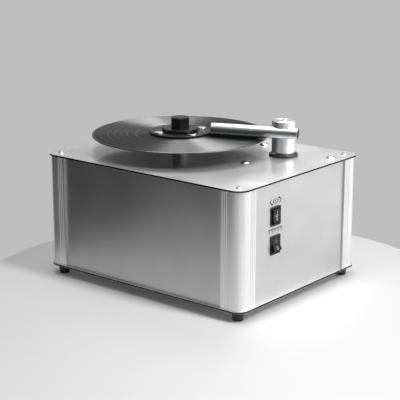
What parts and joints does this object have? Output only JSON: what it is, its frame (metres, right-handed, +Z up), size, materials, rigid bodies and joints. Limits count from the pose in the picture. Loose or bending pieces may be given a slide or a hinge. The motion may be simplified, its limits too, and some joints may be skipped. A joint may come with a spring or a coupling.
{
  "type": "record cleaning machine",
  "caption": "Record cleaning machine: box case with rounded corner posts, 12-inch record under a screw clamp, swinging suction arm, waste tank, vacuum unit and rocker switches.",
  "frame": {"origin": "centre of the case's footprint, on the surface that the feet stand on", "axes": "+Z up, +X towards the side with the switches, -Y is the front, the case's long side lies along X"},
  "size_m": [0.4195, 0.332, 0.2747],
  "materials": {
    "deck_skin": "satin, with a dark plastic core at the edge",
    "post_metal": "satin anodised",
    "panel_metal": "satin anodised",
    "rubber": "matte",
    "screw_steel": "bright",
    "shaft_steel": "ground",
    "turned_metal": "turned",
    "bronze": "satin",
    "motor_paint": "satin",
    "fan_metal": "plain",
    "platter_plastic": "gloss",
    "vinyl": "gloss",
    "label_paper": "matte",
    "clamp_black": "satin",
    "stud_chrome": "polished",
    "tube_chrome": "polished",
    "column_metal": "polished",
    "plug_plastic": "matte",
    "velvet": "pile",
    "tank_plastic": "matte",
    "drain_plastic": "matte",
    "switch_plastic": "satin",
    "inlet_plastic": "matte"
  },
  "bodies": {
    "case": {"top_plate": "deck_skin", "bottom_plate": "deck_skin", "corner_post_front_right": "post_metal", "corner_post_front_left": "post_metal", "corner_post_rear_right": "post_metal", "corner_post_rear_left": "post_metal", "front_panel": "panel_metal", "rear_panel": "panel_metal", "left_panel": "panel_metal", "right_panel": "panel_metal", "rubber_feet": "rubber", "base_ring": "rubber", "motor_mount_ring": "rubber", "tank_gasket": "rubber", "vacuum_hose": "rubber", "top_corner_screws": "screw_steel", "foot_screws": "screw_steel", "tank_bolts": "screw_steel", "tank_nuts": "screw_steel", "inlet_screws": "screw_steel", "bearing_tower": "turned_metal", "motor_top_disc": "turned_metal", "motor_plate": "turned_metal", "motor_standoffs": "turned_metal", "column_guide": "turned_metal", "bearing_bushes": "bronze", "bearing_nut": "bronze", "guide_nut": "bronze", "platter_motor": "motor_paint", "platter_gearbox": "motor_paint", "vacuum_motor": "motor_paint", "fan_housing": "fan_metal", "waste_tank": "tank_plastic", "tank_lid": "tank_plastic", "drain_fitting": "drain_plastic", "motor_switch_body": "switch_plastic", "vacuum_switch_body": "switch_plastic", "mains_inlet": "inlet_plastic"},
    "platter": {"spindle": "shaft_steel", "gearbox_shaft": "shaft_steel", "shaft_coupling": "shaft_steel", "label_platter": "platter_plastic", "platter_mat": "rubber", "vinyl_record": "vinyl", "record_labels": "label_paper"},
    "clamp": {"clamp_disc": "clamp_black", "clamp_studs": "stud_chrome", "clamp_seal": "rubber", "clamp_knob": "clamp_black"},
    "arm_carriage": {"lift_sleeve": "shaft_steel"},
    "arm": {"arm_column": "column_metal", "column_cap": "column_metal", "cap_screw": "screw_steel", "suction_tube": "tube_chrome", "tube_end_plugs": "plug_plastic", "velvet_strips": "velvet"},
    "fan": {"fan_impeller": "fan_metal"},
    "motor_switch_rocker": {"motor_rocker": "switch_plastic"},
    "vacuum_switch_rocker": {"vacuum_rocker": "switch_plastic"},
    "drain_closure": {"drain_cap": "drain_plastic"}
  },
  "joints": [
    {"name": "platter_turn", "type": "hinge", "parent": "case", "child": "platter", "pos_m": [-0.048, -0.0008, 0.2335], "axis": [0, 0, 1], "continuous": true},
    {"name": "clamp_lift", "type": "slide", "parent": "platter", "child": "clamp", "axis": [0, 0, 1], "range_m": [0, 0.03]},
    {"name": "arm_lift", "type": "slide", "parent": "case", "child": "arm_carriage", "axis": [0, 0, 1], "range_m": [0, 0.012]},
    {"name": "arm_swing", "type": "hinge", "parent": "arm_carriage", "child": "arm", "pos_m": [0.11433, 0.0751, 0.2535], "axis": [0, 0, 1], "range_deg": [-25, 100]},
    {"name": "fan_spin", "type": "hinge", "parent": "case", "child": "fan", "pos_m": [-0.118, -0.078, 0.1035], "axis": [0, 0, 1], "continuous": true},
    {"name": "motor_rocker_tilt", "type": "hinge", "parent": "case", "child": "motor_switch_rocker", "pos_m": [0.201, -0.0698, 0.1545], "axis": [0, 1, 0], "range_deg": [-11, 11]},
    {"name": "vacuum_rocker_tilt", "type": "hinge", "parent": "case", "child": "vacuum_switch_rocker", "pos_m": [0.201, -0.0698, 0.1075], "axis": [0, 1, 0], "range_deg": [0, 32]},
    {"name": "drain_cap_out", "type": "slide", "parent": "case", "child": "drain_closure", "axis": [0, 1, 0], "range_m": [0, 0.02]}
  ]
}
